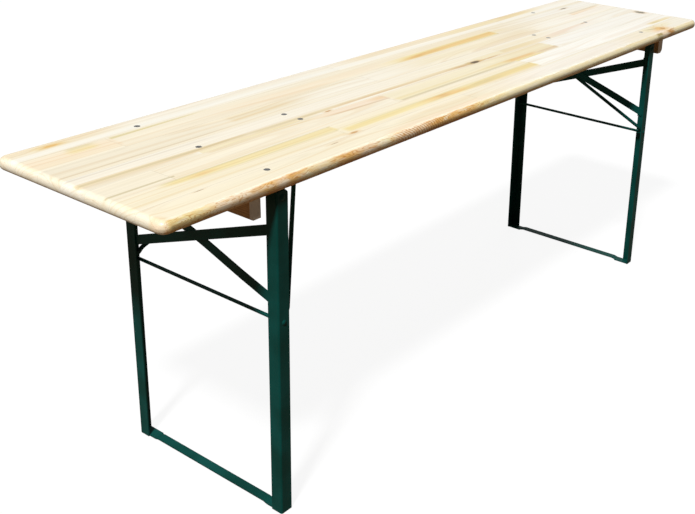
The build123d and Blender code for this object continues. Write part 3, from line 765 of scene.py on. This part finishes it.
for side in ends:
    batten_low, batten_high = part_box(f"batten_{side}")
    batten_x = (batten_low[0] + batten_high[0]) / 2
    places = [facing(batten_x, y, batten_bottom, "-Z") for y in screw_rows]
    piece(f"batten_screws_{side}", "tabletop", zinc, screw_shape(), places)

# ------------------------------------------------------------------ plate bolts and nuts
# Countersunk M6 steel bolts through the top, three at each hinge strap and two at
# each latch plate, flush with the face and closed by hexagon nuts underneath.

bolt_radius = 0.0030
thread_pitch = 0.0010
root_radius = 0.00255
thread_length = 0.0125
thread_end = 0.0012        # plain tip below the thread
head_radius = 0.0070
head_depth = 0.0040
bolt_top = top_high[2]
bolt_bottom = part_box("top_bolts_left")[0][2]
bolt_length = bolt_top - bolt_bottom
nut_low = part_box("top_nuts_left")[0][2]
nut_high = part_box("top_nuts_left")[1][2]
nut_flats = 0.0100
nut_face = 0.0046          # radius of the round that the chamfer leaves
nut_chamfer = 0.0007
bore_chamfer = 0.0004
strap_x = 0.800
strap_y = 0.195
latch_x = 0.530
latch_y = 0.025
bolt_rows = [
    (strap_x, -strap_y), (strap_x, 0.0), (strap_x, strap_y), (latch_x, -latch_y), (latch_x, latch_y),
]

dark_steel = metal("bolt steel", (0.42, 0.42, 0.41, 1), (0.26, 0.26, 0.265, 1), 0.50)


def bolt_shape():
    """A countersunk bolt with its head at the top, threaded at its lower end."""
    profile = [
        (0, -0.00012), (0.0045, -0.00005), (0.0060, 0.0), (0.0067, -0.00015), (head_radius, -0.0006),
        (bolt_radius, -head_depth), (bolt_radius, thread_length - bolt_length),
    ]
    depth = thread_length - bolt_length
    while depth - thread_pitch > thread_end - bolt_length:
        profile.append((root_radius, depth - thread_pitch / 2))
        profile.append((bolt_radius, depth - thread_pitch))
        depth -= thread_pitch
    profile += [(0.0022, -bolt_length), (0, -bolt_length)]
    return turned(profile, 32)


def nut_shape():
    """A hexagon nut with chamfered corners, standing on Z = 0."""
    height = nut_high - nut_low
    corner = nut_flats / 2 / math.cos(math.pi / 6)
    mouth = bolt_radius + bore_chamfer
    nut = turned([
        (mouth, 0), (nut_face, 0), (corner, nut_chamfer), (corner, height - nut_chamfer),
        (nut_face, height), (mouth, height), (bolt_radius, height - bore_chamfer),
        (bolt_radius, bore_chamfer), (mouth, 0),
    ], 48)
    for flat in range(6):
        way = Vector((math.cos(flat * math.pi / 3), math.sin(flat * math.pi / 3), 0))
        everything = nut.verts[:] + nut.edges[:] + nut.faces[:]
        cut = bmesh.ops.bisect_plane(
            nut, geom=everything, plane_co=way * nut_flats / 2, plane_no=way, clear_outer=True,
        )
        rim = [g for g in cut["geom_cut"] if isinstance(g, bmesh.types.BMEdge)]
        bmesh.ops.edgenet_fill(nut, edges=rim)
    return nut


for side, sign in ends.items():
    bolts = [facing(sign * x, y, bolt_top) for x, y in bolt_rows]
    piece(
        f"plate_bolts_{side}", "tabletop", dark_steel, bolt_shape(), bolts,
        [f"top_bolts_{side}"],
    )
    nuts = []
    for i, (x, y) in enumerate(bolt_rows):
        as_tightened = Matrix.Rotation(0.35 + 1.3 * i, 4, "Z")
        nuts.append(facing(sign * x, y, nut_low) @ as_tightened)
    piece(f"plate_nuts_{side}", "tabletop", zinc, nut_shape(), nuts, [f"top_nuts_{side}"])

# ------------------------------------------------------------------ hinge straps and latch plates
# Steel pressings under the top, sprayed dark green before they are bolted on. The
# catch turns on a zinc-plated pin. A strip of spring steel, held under the plate at
# one end, falls onto the catch's nose and keeps it shut.

chip_height = 0.0035       # above the floor


def green_enamel():
    """Dark green sprayed enamel, a little uneven, with dust in the film and chips at the floor."""
    material, tree = new_material("green enamel")
    place = add(tree, "TexCoord").outputs["Object"]
    cloud = noise(tree, place, 9.0, 3.0)
    speck = smooth(tree, noise(tree, place, 420.0, 2.0), 0.66, 0.74)
    height = add(tree, "SeparateXYZ", {0: place}).outputs["Z"]
    thin, thick = (0.0010, 0.042, 0.033, 1), (0.0022, 0.066, 0.056, 1)
    colour = mixed(tree, smooth(tree, cloud, 0.35, 0.65), thin, thick)
    colour = mixed(tree, calc(tree, "MULTIPLY", speck, 0.20), colour, (0.02, 0.09, 0.07, 1))
    chipped = smooth(tree, noise(tree, place, 330.0, 2.0), 0.60, 0.63)
    chipped = calc(tree, "MULTIPLY", chipped, smooth(tree, height, chip_height, 0.0005))
    colour = mixed(tree, calc(tree, "MULTIPLY", chipped, 0.8), colour, (0.30, 0.30, 0.28, 1))
    peel = noise(tree, place, 260.0, 1.0)
    bump = add(tree, "Bump", {"Height": peel, "Strength": 0.12, "Distance": 0.0006}).outputs[0]
    rough = calc(tree, "MULTIPLY_ADD", cloud, 0.14, 0.33)
    skin = add(tree, "BsdfPrincipled", {
        "Base Color": colour, "Roughness": rough, "Normal": bump, "Specular IOR Level": 0.18,
    })
    add(tree, "OutputMaterial", {"Surface": skin.outputs[0]})
    return material


enamel = green_enamel()
spring_steel = metal("spring steel", (0.34, 0.34, 0.35, 1), (0.20, 0.20, 0.22, 1), 0.34)
for side in ends:
    for kind in ("hinge_strap", "latch_plate", "catch_lever"):
        finish(f"{kind}_{side}", enamel)
    finish(f"catch_pin_{side}", zinc)

leaf_low, leaf_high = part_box("catch_spring_right")
leaf_thickness = 0.0006
leaf_bend = 0.001                     # how softly the strip leaves the plate
leaf_fold = leaf_low[0] + 0.008       # where it does so
leaf_fall = (leaf_high[2] - leaf_low[2] - leaf_thickness) / (leaf_high[0] - leaf_fold)


def leaf_shape(sign):
    """A strip of spring steel, flat on the plate at its root and falling to the catch's nose."""
    leaf = bmesh.new()
    bmesh.ops.create_grid(leaf, x_segments=32, y_segments=2, size=0.5)
    for point in leaf.verts:
        reach = leaf_low[0] + (point.co.x + 0.5) * (leaf_high[0] - leaf_low[0])
        past = reach - leaf_fold
        drop = leaf_fall * (math.hypot(past, leaf_bend) + past) / 2
        across = point.co.y * (leaf_high[1] - leaf_low[1])
        point.co = (sign * reach, across, leaf_high[2] - leaf_thickness - drop)
    bmesh.ops.recalc_face_normals(leaf, faces=leaf.faces)
    bmesh.ops.solidify(leaf, geom=leaf.faces[:], thickness=leaf_thickness)
    return leaf


for side, sign in ends.items():
    spring = piece(
        f"leaf_spring_{side}", None, spring_steel, leaf_shape(sign), [Matrix.Identity(4)],
        [f"catch_spring_{side}"],
    )
    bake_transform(spring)

# ------------------------------------------------------------------ leg frames
# Two angle-steel legs, a crossed pair of flat braces and a pressed floor bar, all
# welded together and then sprayed dark green.

for side in ends:
    for kind in ("leg_front", "leg_back", "brace_straight", "brace_stepped", "foot_bar"):
        finish(f"{kind}_{side}", enamel)

leg_axis_x = 0.803
hinge_z = 0.734
splay = math.radians(0.7)
flange_inner = 0.012          # from the leg's middle line to the inner face of its front flange
brace_face = 0.0026           # from there to the free face of a brace
weld_y = 0.2085               # where a brace runs onto the flange
weld_length = 0.020
weld_size = 0.0042
brace_drops = {               # where a brace meets the front and the back leg, below the top
    "left": {"front": (0.085, 0.243), "back": (0.242, 0.096)},
    "right": {"front": (0.064, 0.232), "back": (0.227, 0.075)},
}


def weld_shape():
    """A run of overlapping weld ripples along Y, half sunk at Z = 0."""
    shape = bmesh.new()
    count = round(weld_length / (weld_size * 0.55))
    for i in range(count):
        swell = 1 + 0.12 * math.sin(i * 2.3)
        place = Matrix.Translation((0, (i - (count - 1) / 2) * weld_length / count, 0))
        form = Matrix.Diagonal((weld_size / 2 * swell, weld_size * 0.62, weld_size * 0.34, 1))
        bmesh.ops.create_uvsphere(shape, u_segments=12, v_segments=6, radius=1.0, matrix=place @ form)
    return shape


for side, sign in ends.items():
    places = []
    onto_brace = Matrix.Rotation(sign * (splay - math.pi / 2), 4, "Y") @ Matrix.Rotation(math.pi / 2, 4, "Z")
    for leg, drops in brace_drops[side].items():
        for drop in drops:
            z = underside - drop
            x = leg_axis_x + (hinge_z - z) * math.tan(splay) + flange_inner - brace_face
            y = weld_y if leg == "back" else -weld_y
            places.append(Matrix.Translation((sign * x, y, z)) @ onto_brace)
    piece(f"brace_welds_{side}", f"frame_{side}", enamel, weld_shape(), places)

# ------------------------------------------------------------------ hinge rivets and pivot rods
# Domed rivets join the legs to the lugs of the strap. A thin rod through both legs
# carries the strut and is riveted over outside them.

pin_radius = 0.004
pin_chamfer = 0.0004
head_height = 0.0026
rivet_head_radius = 0.007
rod_head_radius = 0.006
lug_face = 0.2311             # inner face of the strap's lug
rivet_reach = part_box("hinge_rivets_right")[1][1] - head_height      # up to the flat of the head
rod_low, rod_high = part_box("pivot_rod_right")
rod_x = (rod_low[0] + rod_high[0]) / 2
rod_z = (rod_low[2] + rod_high[2]) / 2
rod_reach = rod_high[1] - head_height


def pin_shape(length, dome_radius):
    """A pin along Z with a domed head on top, its shank ending at Z = -length."""
    sphere = (dome_radius ** 2 + head_height ** 2) / (2 * head_height)
    half = math.asin(min(1.0, dome_radius / sphere))
    dome = []
    for i in range(9):
        angle = half * i / 8
        dome.append((sphere * math.sin(angle), head_height - sphere * (1 - math.cos(angle))))
    shank = [(pin_radius, 0), (pin_radius, pin_chamfer - length), (pin_radius - pin_chamfer, -length)]
    return turned(dome + shank + [(0, -length)], 36)


for side, sign in ends.items():
    rivet = pin_shape(rivet_reach - lug_face, rivet_head_radius)
    places = [
        facing(sign * leg_axis_x, rivet_reach, hinge_z, "Y"),
        facing(sign * leg_axis_x, -rivet_reach, hinge_z, "-Y"),
    ]
    piece(f"leg_rivets_{side}", "tabletop", enamel, rivet, places, [f"hinge_rivets_{side}"])
    rod = pin_shape(rod_reach, rod_head_radius)
    places = [facing(sign * rod_x, rod_reach, rod_z, "Y"), facing(sign * rod_x, -rod_reach, rod_z, "-Y")]
    piece(f"strut_rod_{side}", f"frame_{side}", enamel, rod, places, [f"pivot_rod_{side}"])

# ------------------------------------------------------------------ struts
# One round bar bent to a V, with its ends pressed to eyes on the rod, sprayed with
# the same green.

for side in ends:
    finish(f"strut_{side}", enamel)
